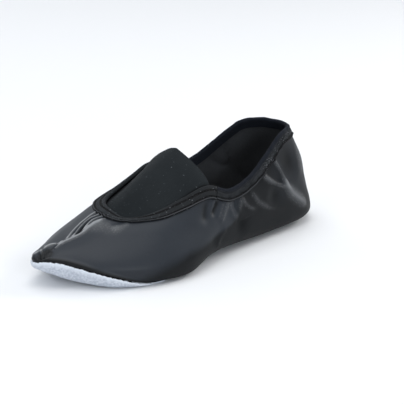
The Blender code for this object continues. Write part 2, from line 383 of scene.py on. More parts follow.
UPPER_COLUMNS = (
    # from turn, to turn, columns
    (-180, -160, 62), (-160, -146, 20), (-146, -112, 32), (-112, -22, 150), (-22, 146, 100),
    (146, 163, 16), (163, 180, 52),
)
MARGIN_ROWS = 6
ROLL_ROWS = 14
WALL_ROWS = 84
ROLL_BELOW = 0.10
ROLL_ABOVE = 0.42
ROLL_MIDDLE = 0.10
ROLL_SPREAD = 0.08
ROLL_HEIGHT = 1.2
ROLL_LOST_AT_TIP = 0.95
TIP_SPREAD = 0.20
BAND_RIM = (-0.05, 0.3)
# Painted shadow: a dark band on the leather just above the sole's edge, wider at the tip.
SEAM_BAND = (0.26, 0.06)
SEAM_WIDER_AT_TIP = 0.16
TAPE_COVER = (3.0, 7.5)
# Painted light and shade on the leather: its tone is painted lighter forward of these turns and above the
# edge below, and darker as painted shade on the lower sides; the same mask adds coat.
PAINTED_LIGHT_TURNS = (79.0, 85.0)
PAINTED_SHADE_EDGE = (
    # turn in degrees, rise above which the leather is painted lighter, with painted shade below it,
    # softness of that edge
    (78.0, 2.05, 0.15), (83.0, 1.63, 0.15), (89.0, 1.50, 0.18), (95.0, 1.38, 0.20), (106.0, 1.42, 0.25),
    (115.0, 1.20, 0.50), (121.0, 0.90, 0.60), (130.0, 0.50, 0.60), (180.0, 0.20, 0.60),
)
PAINTED_SHADE_EDGE_OVER = 0.4
# More painted light, and more coat, on the low vamp and high on the heel.
LOW_VAMP_RISES = (1.9, 1.0)
LOW_VAMP_TURNS = (115.0, 135.0)
LOW_VAMP_SHARE = 0.5
COUNTER_TURNS = (66.0, 50.0)
COUNTER_RISES = (1.4, 1.9)
COUNTER_SHARE = 0.35
OUTER_FOLDS = (
    # half width, height, roundness of the crest, path of turns in degrees and rises
    # heel: the long ridges that run down and back from the collar
    (1.6, 2.4, 0.4, ((-58.5, 2.95), (-56.0, 2.77), (-54.2, 2.58), (-52.4, 2.39), (-50.8, 2.21),
                     (-49.0, 2.04), (-46.0, 1.84))),
    (3.8, 2.2, 0.7, ((-52.5, 2.34), (-51.0, 2.17), (-48.8, 1.97), (-45.8, 1.76), (-41.5, 1.56),
                     (-36.5, 1.36), (-33.2, 1.23), (-27.0, 0.93))),
    (1.8, 2.1, 0.5, ((-67.4, 2.86), (-65.4, 2.68), (-63.7, 2.54), (-61.2, 2.38), (-58.7, 2.26),
                     (-55.4, 2.13), (-51.4, 2.05), (-48.0, 1.97))),
    (2.0, 1.05, 1.0, ((-77.5, 2.72), (-75.0, 2.55), (-72.0, 2.27), (-69.5, 2.03), (-66.0, 1.81),
                      (-62.0, 1.62), (-56.5, 1.46), (-50.0, 1.36))),
    (1.7, 0.95, 1.0, ((-82.0, 2.64), (-80.0, 2.44), (-78.0, 2.22), (-75.5, 2.04), (-72.5, 1.88),
                      (-69.0, 1.74))),
    # heel: the hollow and the bulge behind them, and the hollows below
    (7.0, -1.8, 1.5, ((-51.0, 3.00), (-45.5, 2.62), (-40.0, 2.30), (-36.0, 2.00))),
    (9.0, 1.6, 1.5, ((-33.0, 2.90), (-27.0, 2.50), (-22.0, 2.20), (-18.0, 1.90))),
    (5.0, -0.5, 1.5, ((-27.0, 1.95), (-20.0, 1.66), (-12.0, 1.52), (0.0, 1.45))),
    (6.0, -1.3, 1.5, ((-64.0, 2.16), (-60.0, 2.00), (-56.0, 1.82), (-50.0, 1.62))),
    # quarter: gathers below the front end of the collar tape
    (3.0, -1.3, 1.5, ((-103.0, 2.80), (-102.5, 2.41), (-102.0, 2.18), (-101.0, 1.85))),
    (1.6, 0.9, 1.2, ((-99.0, 2.76), (-99.0, 2.58), (-99.0, 2.46), (-99.5, 2.34), (-100.0, 2.12))),
    (1.8, -1.7, 1.2, ((-95.0, 2.78), (-96.0, 2.55), (-96.5, 2.41), (-97.0, 2.24), (-97.5, 2.05))),
    (1.8, 0.7, 1.2, ((-93.0, 2.76), (-93.2, 2.45), (-93.4, 2.15), (-93.5, 1.90))),
    (1.8, 1.0, 1.0, ((-90.5, 2.78), (-90.3, 2.59), (-89.8, 2.38), (-90.3, 2.16), (-90.5, 1.91),
                     (-90.5, 1.70))),
    (1.5, 0.7, 1.0, ((-88.3, 2.74), (-88.0, 2.51), (-87.0, 2.26), (-84.5, 1.93), (-81.5, 1.69),
                     (-80.0, 1.58))),
    (1.4, -0.8, 1.0, ((-85.5, 2.74), (-85.0, 2.50), (-84.0, 2.23), (-81.0, 1.90), (-79.0, 1.66))),
    (2.4, 0.9, 1.2, ((-81.5, 2.70), (-81.2, 2.42), (-81.5, 2.10), (-82.0, 1.90), (-82.5, 1.69))),
    # quarter: hollow and crease that run down towards the waist
    (5.5, -1.6, 1.5, ((-79.5, 1.86), (-78.5, 1.58), (-76.0, 1.22), (-73.0, 0.89))),
    (1.6, 0.7, 0.8, ((-86.0, 1.52), (-87.0, 1.43), (-88.5, 1.30), (-89.2, 1.04), (-90.0, 0.70))),
    (3.0, -0.6, 1.5, ((-87.5, 1.62), (-88.5, 1.50), (-90.5, 1.36), (-92.5, 1.23), (-94.0, 1.00))),
)
TOE_FOLDS = (
    # half width, height, roundness of the crest, path of turns in degrees and rises
    # near ridge of the seam, from the throat to the tip, and its soft shoulder
    (1.2, 1.4, 0.3, ((188.0, 2.85), (185.5, 2.71), (184.8, 2.62), (183.5, 2.54), (183.5, 2.45),
                     (184.5, 2.35), (186.5, 2.23), (186.8, 2.12), (186.0, 2.05), (185.0, 1.96),
                     (184.0, 1.84), (183.2, 1.76), (182.0, 1.70), (178.2, 1.66), (175.8, 1.60),
                     (174.8, 1.53), (176.8, 1.46), (179.2, 1.36), (178.0, 1.27), (175.5, 1.18),
                     (173.0, 1.10))),
    (4.5, 0.55, 1.5, ((194.0, 2.85), (191.2, 2.69), (189.5, 2.58), (188.8, 2.45), (189.2, 2.30),
                      (189.0, 2.10))),
    # far, middle and thin ridges of the puckers, each with the groove beside it
    (0.8, 1.3, 0.3, ((169.0, 2.85), (168.2, 2.70), (167.4, 2.59), (168.3, 2.47), (169.0, 2.33),
                     (171.2, 2.21), (174.2, 2.10), (177.2, 2.01), (179.5, 1.94), (182.0, 1.86))),
    (0.6, -0.5, 0.5, ((171.5, 2.85), (170.5, 2.65), (169.8, 2.53), (170.8, 2.41), (172.6, 2.30),
                      (175.3, 2.18), (177.6, 2.07))),
    (0.7, 1.2, 0.3, ((177.5, 2.85), (175.0, 2.71), (172.2, 2.60), (172.0, 2.48), (173.5, 2.38),
                     (176.5, 2.24), (179.2, 2.16), (181.2, 2.09), (183.5, 2.02), (185.0, 1.97))),
    (0.8, -1.5, 0.5, ((181.0, 2.85), (178.8, 2.75), (175.5, 2.61), (175.0, 2.51), (176.0, 2.41),
                      (178.5, 2.29), (181.8, 2.18), (183.0, 2.08))),
    (0.7, 1.2, 0.3, ((183.0, 2.85), (181.0, 2.75), (178.8, 2.67), (177.6, 2.58), (178.6, 2.47),
                     (180.8, 2.37), (183.2, 2.29), (185.5, 2.24))),
    (0.6, -0.8, 0.5, ((186.0, 2.85), (183.8, 2.76), (181.8, 2.67), (180.5, 2.58), (180.3, 2.50),
                      (181.6, 2.42))),
    # hollow above the tip, with two thin ridges and a groove across it
    (3.0, -2.0, 1.0, ((180.0, 1.56), (182.5, 1.46), (186.0, 1.36), (189.0, 1.22), (191.5, 1.12),
                      (193.0, 1.04))),
    (0.7, 1.1, 0.3, ((176.5, 1.40), (181.0, 1.34), (186.0, 1.26), (189.0, 1.18), (190.0, 1.12))),
    (0.7, 1.1, 0.3, ((174.5, 1.50), (181.0, 1.44), (187.0, 1.35), (190.0, 1.27), (192.0, 1.18))),
    (0.8, -0.9, 0.5, ((178.0, 1.33), (184.0, 1.25), (189.0, 1.10))),
    # nub at the tip, painted lighter through its fold height, and the small ridge and groove above it
    (3.0, 0.9, 1.5, ((171.0, 1.04), (170.5, 1.16), (171.0, 1.28), (173.0, 1.40))),
    (0.8, 0.9, 0.3, ((183.5, 1.80), (185.5, 1.68), (186.8, 1.61), (188.0, 1.55))),
    (0.8, -0.6, 0.5, ((180.5, 1.74), (181.5, 1.66), (183.5, 1.58), (186.0, 1.50))),
    # leather drawn up and dented below the throat tape; its fold height also paints a highlight there
    (5.0, 0.45, 1.5, ((186.0, 2.60), (196.0, 2.54), (204.0, 2.50), (209.5, 2.50), (216.0, 2.48))),
    (2.2, -0.4, 1.2, ((203.5, 2.76), (202.0, 2.66), (199.0, 2.52))),
    (2.4, 0.35, 1.2, ((212.5, 2.66), (209.0, 2.48), (205.0, 2.34))),
)
TOE_FADE = 0.1
# Extra weight of the toe's folds in the painted highlights and shade.
TOE_LIGHT_AND_SHADE_GAIN = 1.7
FOLD_FADE = (0.2, 0.05, 0.5)
INNER_START = 3.0
INNER_TURN = 0.97
INNER_WIDTH = 1.1
INNER_HEIGHT = 0.8
UNEVEN_HEIGHT = 0.12
UNEVEN_SIZE = 38.0
UNEVEN_SEED = 4
HEEL_SEAM = ((0.0, 0.1), (0.0, 1.0), (0.0, 2.0), (0.0, 2.95))
HEEL_SEAM_SHAPE = (
    # half width, height
    (0.8, -0.6), (3.0, 0.45),
)
HEEL_SEAM_CREST = 1.0
HEEL_SEAM_FADE = 0.03


def toe_seamed(points):
    """Height of the puckers and ridges along the seam of the toe."""
    relief = np.zeros(points.shape[:-1])
    for width, height, crest, path in TOE_FOLDS:
        relief = relief + fold(points, path, width, height, crest, TOE_FADE * width)
    return relief


def creased(points, below):
    """Height of all creases and seams at points of the last, given their distance below the topline."""
    relief = UNEVEN_HEIGHT * bumpy(points, UNEVEN_SIZE, UNEVEN_SEED) + toe_seamed(points)
    for width, height, crest, path in OUTER_FOLDS:
        inner = [(INNER_START - INNER_TURN * turn, rise) for turn, rise in path]
        fade = min(FOLD_FADE[2], FOLD_FADE[0] + FOLD_FADE[1] * width)
        relief = relief + fold(points, path, width, height, crest, fade)
        relief = relief + fold(points, inner, width * INNER_WIDTH, height * INNER_HEIGHT, crest, fade)
    for width, height in HEEL_SEAM_SHAPE:
        relief = relief + fold(points, HEEL_SEAM, width, height, HEEL_SEAM_CREST, HEEL_SEAM_FADE)
    return relief * smooth(*TAPE_COVER, below)


def ring_of(columns):
    """Turns of the columns of a closed ring, from a table of stretches in degrees."""
    stretches = [np.linspace(start, stop, count, endpoint=False) for start, stop, count in columns]
    return np.radians(np.concatenate(stretches + [[180]]))


def rows_between(low, high, count):
    """Evenly spaced rises between two edges of a ring, both included."""
    return [low + (high - low) * part for part in np.linspace(0, 1, count)]


ring = ring_of(UPPER_COLUMNS)
rim = sole_rim(ring)
levels = rows_between(inside_feather(ring, LASTING_MARGIN), rim - ROLL_BELOW, MARGIN_ROWS)[:-1]
levels += rows_between(rim - ROLL_BELOW, rim + ROLL_ABOVE, ROLL_ROWS)[:-1]
levels += rows_between(rim + ROLL_ABOVE, TOP_RISE, WALL_ROWS)
rises = np.stack(levels, 1)
turns = np.repeat(ring[:, None], rises.shape[1], axis=1)
skin = last(turns, rises)
normal = outward(turns, rises)
below = np.linalg.norm(skin - last(turns, TOP_RISE), axis=-1)
relief = creased(skin, below)
banded = smooth(*BAND_RIM, rim)[:, None]
above = rises - rim[:, None]
tip = hump(np.pi, TIP_SPREAD, np.abs(ring))[:, None]
roll = banded * (1 - ROLL_LOST_AT_TIP * tip) * hump(ROLL_MIDDLE, ROLL_SPREAD, above)
leather = skin + normal * (relief + ROLL_HEIGHT * roll)[..., None]
upper = shaped_grid("upper_leather", leather)
# The fold heights, with the toe's puckers counted again, paint highlights on the ridges and shade in the
# troughs.
mark(upper, "fold", relief + TOE_LIGHT_AND_SHADE_GAIN * toe_seamed(skin))
around = np.degrees(np.abs(turns))
# Mask of painted light: lighter above the painted shade edge, more on the low vamp and on the heel; it also
# sets the coat.
edge_turns, edge_rises, edge_softness = np.array(PAINTED_SHADE_EDGE).T
shade_edge = np.interp(around, edge_turns, edge_rises)
shade_edge_soft = np.interp(around, edge_turns, edge_softness)
painted_light_above = smooth(shade_edge - shade_edge_soft, shade_edge + PAINTED_SHADE_EDGE_OVER * shade_edge_soft, rises)
painted_light_above = smooth(*PAINTED_LIGHT_TURNS, around) * painted_light_above
low_vamp = smooth(*LOW_VAMP_RISES, rises) * smooth(*LOW_VAMP_TURNS, around)
counter = smooth(*COUNTER_TURNS, around) * smooth(*COUNTER_RISES, rises)
mark(upper, "painted_light_and_coat", painted_light_above * (1 + LOW_VAMP_SHARE * low_vamp) + COUNTER_SHARE * counter)
# Painted shadow on the leather along the top of the sole.
mark(upper, "seam_shadow", banded * smooth(SEAM_BAND[0] + SEAM_WIDER_AT_TIP * tip, SEAM_BAND[1], above))

LEATHER_GRAIN = 1150.0
LEATHER_PORES = (2600.0, 2.0)
LEATHER_CLOUDS = (42.0, 3.0)
LEATHER_MOTTLE = (520.0, 2.0)
LEATHER_GLINTS = (1300.0, 2.0)
LEATHER_RELIEF = (0.00012, 0.5)
FLESH_NAP = (900.0, 4.0)
FLESH_RELIEF = (0.0002, 0.5)
CLOUD_SHARES = (0.65, 0.35)
GRAIN_SHARES = (0.7, 0.3)
# Painted glints: fine light specks on the higher ridges.
GLINT_SHARE = 0.7
GLINT_SPOTS = (0.58, 0.70)
GLINT_HEIGHTS = (0.2, 1.0)
TROUGH_SHADE_HEIGHTS = (-0.2, -1.8)
SEAM_SHADE = (0.05, 0.9)
LEATHER_ROUGH = 0.47
ROUGHER_IN_CLOUDS = 0.12
COAT_WHERE_LIT = 0.24
COAT_ON_RIDGES = 0.32
COAT_HEIGHTS = (0.1, 1.2)
# Shaded and lit tones of the same leather, painted as light and shade.
PAINTED_SHADE_TONES = ((0.0085, 0.0095, 0.0105, 1.0), (0.0145, 0.0155, 0.0170, 1.0))
PAINTED_LIGHT_TONES = ((0.017, 0.0205, 0.0260, 1.0), (0.025, 0.0295, 0.0365, 1.0))
RIDGE_HIGHLIGHT_TONES = (
    # height of a fold where the painted highlight starts, height where it is full, colour
    (0.25, 1.7, (0.040, 0.043, 0.047, 1.0)),
    (1.2, 2.4, (0.110, 0.115, 0.120, 1.0)),
    (1.8, 3.2, (0.250, 0.255, 0.260, 1.0)),
)
GLINT_TONE = (0.150, 0.155, 0.160, 1.0)
TROUGH_SHADE_TONE = (0.005, 0.006, 0.007, 1.0)
SEAM_SHADOW_TONE = (0.003, 0.0035, 0.004, 1.0)
FLESH_TONES = ((0.020, 0.022, 0.025, 1.0), (0.042, 0.044, 0.048, 1.0))
calf = Finish("black_leather", 0.5)
grain = calf.cells(LEATHER_GRAIN)
pores = calf.noise(*LEATHER_PORES)
cloud = CLOUD_SHARES[0] * calf.noise(*LEATHER_CLOUDS) + CLOUD_SHARES[1] * calf.noise(*LEATHER_MOTTLE)
fold_height = calf.number("fold")
seam_shadow = calf.number("seam_shadow")
painted_light_and_coat = calf.number("painted_light_and_coat")
# Painted glints on the higher ridges.
glints = GLINT_SHARE * calf.noise(*LEATHER_GLINTS).limited(*GLINT_SPOTS) * fold_height.limited(*GLINT_HEIGHTS)
# Painted light and shade: the tone goes from the shaded to the lit tones by the mask.
tone = painted_light_and_coat.between(cloud.between(*PAINTED_SHADE_TONES), cloud.between(*PAINTED_LIGHT_TONES))
# Painted highlights on the ridges.
for start, full, colour in RIDGE_HIGHLIGHT_TONES:
    tone = fold_height.limited(start, full).between(tone, colour)
tone = glints.between(tone, GLINT_TONE)
# Painted shade in the troughs.
tone = fold_height.limited(*TROUGH_SHADE_HEIGHTS).between(tone, TROUGH_SHADE_TONE)
# Painted shadow above the sole.
tone = seam_shadow.limited(*SEAM_SHADE).between(tone, SEAM_SHADOW_TONE)
calf.set("Base Color", tone)
calf.set("Roughness", LEATHER_ROUGH + ROUGHER_IN_CLOUDS * cloud)
calf.set("Specular IOR Level", 0.10)
calf.set("Coat Weight", COAT_WHERE_LIT * painted_light_and_coat + COAT_ON_RIDGES * fold_height.limited(*COAT_HEIGHTS))
calf.set("Coat Roughness", 0.40)
calf.relief(GRAIN_SHARES[0] * grain + GRAIN_SHARES[1] * pores, *LEATHER_RELIEF)
flesh = Finish("flesh_side", 0.9)
nap = flesh.noise(*FLESH_NAP)
flesh.set("Base Color", nap.between(*FLESH_TONES))
flesh.relief(nap, *FLESH_RELIEF)
upper.data.materials.append(calf.material)
upper.data.materials.append(flesh.material)
thicken(upper, WALL, lining=1)
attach(upper, "root")
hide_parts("upper")


# Sock. A thin cotton cloth cut to the shape of the foot and pasted over the turned-in edge of the
# leather, so that the seam of the sole can't be felt.
SOCK_THICK = 1.0
SOCK_INSET = 3.0
SOCK_COLUMNS = 181
SOCK_ROWS = 16
SOCK_WEAVE = 9000.0
SOCK_SPECKS = (700.0, 3.0)
SOCK_RELIEF = (0.0001, 0.5)
SOCK_TONES = ((0.24, 0.22, 0.19, 1.0), (0.36, 0.33, 0.29, 1.0))
ring = np.linspace(-np.pi, np.pi, SOCK_COLUMNS)
rises = np.stack(rows_between(-1, inside_feather(ring, SOCK_INSET), SOCK_ROWS), 1)
turns = np.repeat(ring[:, None], rises.shape[1], axis=1)
sock = shaped_grid("sock", (last(turns, rises) + np.array((0.0, 0.0, WALL + GAP)))[::-1])
cotton = Finish("sock_cotton", 0.92)
length_way = cotton.start.node("ShaderNodeSeparateXYZ", {}, {"Vector": cotton.place})
cross_way = Shade(cotton.tree, length_way.socket.node.outputs[1])
weave = (length_way * SOCK_WEAVE).wave() * (cross_way * SOCK_WEAVE).wave()
speck = cotton.noise(*SOCK_SPECKS)
cotton.set("Base Color", speck.between(*SOCK_TONES))
cotton.relief(weave + speck, *SOCK_RELIEF)
sock.data.materials.append(cotton.material)
thicken(sock, -SOCK_THICK)
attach(sock, "root")
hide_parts("insole")


# Sole. One piece of pale suede, 1.6 mm thick with its nap outwards, sewn to the upper with the shoe
# inside out. It shows as a fuzzy pale band where it turns up round the forefoot and toe.
SOLE_COLUMNS = (
    # from turn, to turn, columns
    (-180, -112, 380), (-112, 112, 200), (112, 180, 220),
)
SOLE_ROWS = 22
TURN_UP_BELOW = 0.1
SOLE_GAP_WIDER = 0.5
SOLE_EDGE_ROUND = 0.55
SOLE_EDGE_SPREAD = 0.7
SOLE_FUZZ = (
    # height, size, seed
    (0.12, 5.0, 11), (0.12, 2.0, 12),
)
FUZZ_ABOVE_FLOOR = (0.3, 1.5)
SOLE_RAGGED = (
    # height, size, seed
    (0.34, 1.7, 13), (0.10, 6.0, 14),
)
RAGGED_SPREAD = 1.2
RAGGED_RIM = (0.0, 0.3)
# Painted highlight: the sole is painted paler along its upper edge.
RIM_HIGHLIGHT_SPREAD = 2.0
SUEDE_FIBRE = (1500.0, 4.0)
SUEDE_BRUSHED = (620.0, 3.0)
SUEDE_SMUDGE = (38.0, 2.0)
SUEDE_RELIEF = (0.0005, 0.6)
BRUSHED_SHARE = 0.6
BRUSHED_SPOTS = (0.30, 0.70)
SMUDGE_SPOTS = (0.55, 0.80)
SUEDE_TONES = ((0.44, 0.48, 0.55, 1.0), (0.63, 0.665, 0.725, 1.0))
SMUDGE_TONE = (0.45, 0.485, 0.55, 1.0)
RIM_HIGHLIGHT_TONE = (0.72, 0.76, 0.82, 1.0)
ring = ring_of(SOLE_COLUMNS)
rim = sole_rim(ring)
turn_up = np.minimum(0, rim - TURN_UP_BELOW)
levels = rows_between(-1, turn_up, SOLE_ROWS)[:-1] + rows_between(turn_up, rim, SOLE_ROWS)
rises = np.stack(levels, 1)
turns = np.repeat(ring[:, None], rises.shape[1], axis=1)
bare = last(turns, rises)
from_rim = np.linalg.norm(bare - last(turns, rim[:, None]), axis=-1)
lift = GAP * (1 + SOLE_GAP_WIDER * np.clip(rises, 0, 1)) + SOLE_THICK
lift = lift - SOLE_EDGE_ROUND * hump(0, SOLE_EDGE_SPREAD, from_rim)
fuzz = sum(height * bumpy(bare, size, seed) for height, size, seed in SOLE_FUZZ)
fuzz = fuzz * smooth(*FUZZ_ABOVE_FLOOR, bare[..., 2] - TREAD)
ragged = sum(height * bumpy(bare, size, seed) for height, size, seed in SOLE_RAGGED)
ragged = ragged * hump(0, RAGGED_SPREAD, from_rim) * smooth(*RAGGED_RIM, rim)[:, None]
climb = last(turns, rises + 2 * STEP) - last(turns, rises - 2 * STEP)
climb = climb / np.linalg.norm(climb, axis=-1)[..., None]
hide = bare + outward(turns, rises) * (lift + fuzz)[..., None] + climb * ragged[..., None]
sole = shaped_grid("suede_sole", hide)
# Painted highlight along the sole's upper edge.
mark(sole, "rim", hump(0, RIM_HIGHLIGHT_SPREAD, from_rim) * smooth(*RAGGED_RIM, rim)[:, None])
suede = Finish("pale_suede", 0.95)
fibre = suede.noise(*SUEDE_FIBRE)
brushed = suede.noise(*SUEDE_BRUSHED)
smudge = suede.noise(*SUEDE_SMUDGE)
tone = brushed.limited(*BRUSHED_SPOTS).between(*SUEDE_TONES)
tone = smudge.limited(*SMUDGE_SPOTS).between(tone, SMUDGE_TONE)
# Painted highlight along the sole's upper edge.
tone = suede.number("rim").between(tone, RIM_HIGHLIGHT_TONE)
suede.set("Base Color", tone)
suede.relief(fibre + BRUSHED_SHARE * brushed, *SUEDE_RELIEF)
sole.data.materials.append(suede.material)
thicken(sole, SOLE_THICK)
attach(sole, "root")
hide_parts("sole")


# Gore. A panel of black elastic knit over the instep that lets the foot in. It is hemmed along its back
# edge, and its other edge is caught behind the throat tape.
TAPE_GAP = 0.45
TAPE_THICK = 0.8
GORE_THICK = 1.0
GORE_MARGIN = 6.0
GORE_TURN = np.radians(102.0)
CREST_ALONG = (124.5, 166.5)
CREST_UP = (73.0, 48.5)
CREST_CROWN = 1.6
GORE_FULLNESS = 0.75
GORE_COLUMNS = 161
GORE_ROWS = 48
GORE_MARGIN_ROWS = (1.0, 0.66, 0.33)
FOOTING_STEPS = 6
KNIT_RIBS = 7.0
KNIT_ROWS = 9.0
KNIT_SHADE = (60.0, 2.0)
KNIT_RELIEF = (0.00012, 0.6)
KNIT_ROW_SHARE = 0.6
KNIT_SHADOW = (9.0, 7.2)
KNIT_LINT_SPOTS = (0.73, 0.78)
LINT_SPECKS = (900.0, 1.0)
KNIT_TONES = ((0.0105, 0.0132, 0.015, 1.0), (0.0175, 0.021, 0.023, 1.0))
KNIT_SHADOW_TONE = (0.004, 0.005, 0.006, 1.0)
KNIT_LINT_TONE = (0.12, 0.13, 0.14, 1.0)


def over_topline(turn):
    """Unit direction over the last and off its topline, square to the edge."""
    along = last(turn + STEP, TOP_RISE) - last(turn - STEP, TOP_RISE)
    square = np.cross(along, outward(turn, TOP_RISE))
    return square / np.linalg.norm(square, axis=-1)[..., None]


def below_topline(turn, width, lift):
    """Point lifted off the last that lies the given width below the topline, square to the edge."""
    goal = last(turn, TOP_RISE) - over_topline(turn) * np.asarray(width)[..., None]
    rise = np.full_like(turn, TOP_RISE)
    for _ in range(FOOTING_STEPS):
        along = (last(turn + STEP, rise) - last(turn - STEP, rise)) / (2 * STEP)
        upward = (last(turn, rise) - last(turn, rise - 2 * STEP)) / (2 * STEP)
        miss = goal - last(turn, rise)
        along_2 = np.sum(along * along, -1)
        upward_2 = np.sum(upward * upward, -1)
        mixed = np.sum(along * upward, -1)
        miss_along = np.sum(miss * along, -1)
        miss_upward = np.sum(miss * upward, -1)
        scale = along_2 * upward_2 - mixed ** 2
        turn = turn + (miss_along * upward_2 - miss_upward * mixed) / scale
        rise = rise + (miss_upward * along_2 - miss_along * mixed) / scale
    return lifted(turn, rise, lift)


turns = np.linspace(GORE_TURN, 2 * np.pi - GORE_TURN, GORE_COLUMNS)
gore_lift = -WALL - TAPE_GAP - TAPE_THICK - GAP
share = (np.cos(turns[0]) - np.cos(turns)) / (np.cos(turns[0]) + 1)
crest = np.stack([
    CREST_ALONG[0] + (CREST_ALONG[1] - CREST_ALONG[0]) * share,
    np.zeros_like(share),
    CREST_UP[0] + (CREST_UP[1] - CREST_UP[0]) * share + 4 * CREST_CROWN * share * (1 - share),
], -1)
slope = np.array((CREST_UP[1] - CREST_UP[0], 0.0, CREST_ALONG[0] - CREST_ALONG[1]))
slope = slope / np.linalg.norm(slope)
foot = lifted(turns, TOP_RISE, gore_lift)
span = crest - foot
leave = GORE_FULLNESS * over_topline(turns) * np.linalg.norm(span, axis=-1)[..., None]
arrive = span - (span @ slope)[..., None] * slope
knit = [below_topline(turns, GORE_MARGIN * part, gore_lift) for part in GORE_MARGIN_ROWS]
knit += [curve(foot, crest, leave, arrive, part) for part in np.linspace(0, 1, GORE_ROWS)]
gore = shaped_grid("gore_knit", np.stack(knit, 1))
elastic = Finish("elastic_knit", 0.95)
along, across = elastic.pattern()
ribs = (along * KNIT_RIBS).wave()
rows = (across * KNIT_ROWS).wave()
shade = elastic.noise(*KNIT_SHADE)
lint = elastic.noise(*LINT_SPECKS).limited(*KNIT_LINT_SPOTS)
tone = shade.between(*KNIT_TONES)
tone = across.limited(*KNIT_SHADOW).between(tone, KNIT_SHADOW_TONE)
elastic.set("Base Color", lint.between(tone, KNIT_LINT_TONE))
elastic.relief(ribs + KNIT_ROW_SHARE * rows, *KNIT_RELIEF)
elastic.set("Specular IOR Level", 0.2)
gore.data.materials.append(elastic.material)
thicken(gore, GORE_THICK)
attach(gore, "root")
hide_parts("gore")


# Throat tape. A black tape folded over the edge of the leather and the gore and sewn through both, with
# its outer edge turned under so that it stands up as a thin cord.
JOIN_TURN = np.radians(99.0)
JOIN_GAP = 0.004
THROAT_TAPE = 8.0
TAPE_INSIDE = 6.0
THROAT_COLUMNS = 241
THROAT_CORD = 0.55
THROAT_RIPPLE = 0.10
THROAT_SEED = 21
TAPE_ROWS = (
    # share of the width from, to, rows
    (1.0, 0.6, 15), (0.6, 0.08, 12),
)
TAPE_FOLD_ROWS = 11
TAPE_INSIDE_ROWS = 6
TAPE_PRESSED = 0.25
CORD_INSET = 0.9
CORD_SPREAD = 0.5
SEAM_INSET = 2.0
SEAM_DEPTH = 0.40
TOP_SEAM_BELOW = 1.7
TOP_SEAM_DEPTH = 0.45
SEAM_SPREAD = 0.5
TAPE_EDGE_ROUND = 0.40
TAPE_EDGE_SPREAD = 0.3
RIPPLE_SIZE = 6.0
RIPPLE_INSIDE = 0.2
STITCH_PITCH = 2.6
STITCH_LENGTH = 2.0
STITCH_THICK = 0.45
STITCH_REACH = 0.6
STITCH_SUNK = 0.10
TOP_STITCH_SUNK = 0.45
STITCH_SEGMENTS = 8
STITCH_RINGS = 5
TAPE_TWILL = 6.0
TAPE_SHADE = (120.0, 3.0)
TAPE_RELIEF = (0.00015, 0.6)
TAPE_LINT_SPOTS = (0.70, 0.76)
TAPE_NEAR_SHADE_ALONG = (100.0, 150.0)
CORD_BAND = ((0.4, 0.7), (1.5, 1.2))
EDGE_SHADE_INSETS = (2.7, 2.3)
TOP_GROOVE_SHADE_BAND = ((-2.7, -2.3), (-0.7, -1.1))
TAPE_TONES = ((0.011, 0.013, 0.015, 1.0), (0.023, 0.026, 0.029, 1.0))
TAPE_NEAR_SHADE_TONE = (0.011, 0.0125, 0.014, 1.0)
TAPE_GROOVE_SHADE_TONE = (0.0025, 0.0025, 0.003, 1.0)
TAPE_CORD_HIGHLIGHT_TONE = (0.046, 0.049, 0.054, 1.0)
TAPE_LINT_TONE = (0.16, 0.17, 0.18, 1.0)
THREAD_TWIST = (2500.0, 1.0)
THREAD_TONES = ((0.002, 0.0022, 0.0025, 1.0), (0.006, 0.0065, 0.007, 1.0))


def tape_surface(turns, width, cord, ripple, seed):
    """Outside of a folded tape, from its outer edge over the topline to its inner edge."""
    edge = last(turns, TOP_RISE)
    normal = outward(turns, TOP_RISE)
    square = over_topline(turns)
    face = TAPE_GAP + TAPE_THICK - TAPE_PRESSED
    outer, top = (np.linspace(*stretch) * width for stretch in TAPE_ROWS)
    lines = []
    across = []
    for down in np.concatenate([outer, top[1:]]):
        inset = width - down
        shape = cord * hump(CORD_INSET, CORD_SPREAD, inset)
        shape = shape - SEAM_DEPTH * hump(SEAM_INSET, SEAM_SPREAD, inset)
        shape = shape - TOP_SEAM_DEPTH * hump(TOP_SEAM_BELOW, SEAM_SPREAD, down)
        shape = shape - TAPE_EDGE_ROUND * hump(0, TAPE_EDGE_SPREAD, inset)
        depth = np.full_like(turns, down)
        pulled = creased(below_topline(turns, depth, 0 * depth), depth)
        lines.append(below_topline(turns, depth, face + shape + pulled))
        across.append(-down)
    radius = WALL / 2 + face
    for angle in np.linspace(0, np.pi, TAPE_FOLD_ROWS):
        over = square * (radius * np.sin(angle))
        lines.append(edge + normal * (radius * np.cos(angle) - WALL / 2) + over)
        across.append(radius * angle)
    for down in np.linspace(0, TAPE_INSIDE, TAPE_INSIDE_ROWS)[1:]:
        lines.append(below_topline(turns, np.full_like(turns, down), -WALL - face))
        across.append(radius * np.pi + down)
    surface = np.stack(lines, 1)
    fading = np.linspace(1, RIPPLE_INSIDE, len(lines))
    waves = ripple * bumpy(edge, RIPPLE_SIZE, seed)[:, None] * fading
    outside = normal[:, None, :] * waves[..., None]
    return surface + outside, np.repeat(np.array(across)[None], len(turns), axis=0)


